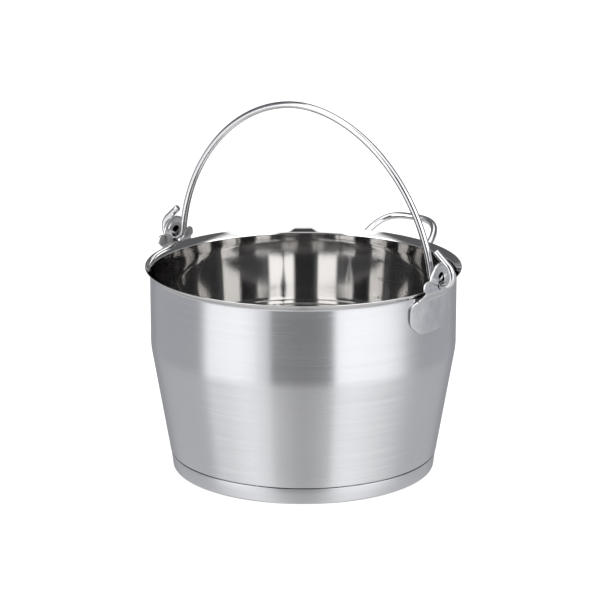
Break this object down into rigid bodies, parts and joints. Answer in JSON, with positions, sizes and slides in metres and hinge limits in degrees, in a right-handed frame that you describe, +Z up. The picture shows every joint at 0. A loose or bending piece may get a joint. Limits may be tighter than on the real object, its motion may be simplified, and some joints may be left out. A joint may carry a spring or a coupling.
{
  "type": "bail handled preserving pan",
  "caption": "deep tapered steel pan with rolled pouring lip, capsule base, swinging wire bail in slotted lugs, and a rear helper loop",
  "frame": {"origin": "centre of the base's flat underside, the face the pan stands on", "axes": "+Z up along the pan's axis, +X along the bail's hinge axis to lug_right, +Y to the helper handle"},
  "size_m": [0.3292, 0.3325, 0.3437],
  "materials": {
    "pan_body": "brushed round the outside, polished inside and on the lip",
    "base_cap": "brushed round the side",
    "base_core": "plain, hidden inside the base",
    "lug_right": "satin, with bright cut edges",
    "lug_left": "satin, with bright cut edges",
    "bail_handle": "polished",
    "helper_handle": "polished"
  },
  "bodies": {
    "pan": {"pan_body": "pan_body", "base_cap": "base_cap", "base_core": "base_core", "lug_right": "lug_right", "lug_left": "lug_left", "helper_handle": "helper_handle"},
    "bail": {"bail_handle": "bail_handle"}
  },
  "joints": [
    {"name": "bail_hinge", "type": "hinge", "parent": "pan", "child": "bail", "pos_m": [0, 0, 0.1944], "axis": [1, 0, 0], "range_deg": [-68.5, 63.5]}
  ]
}
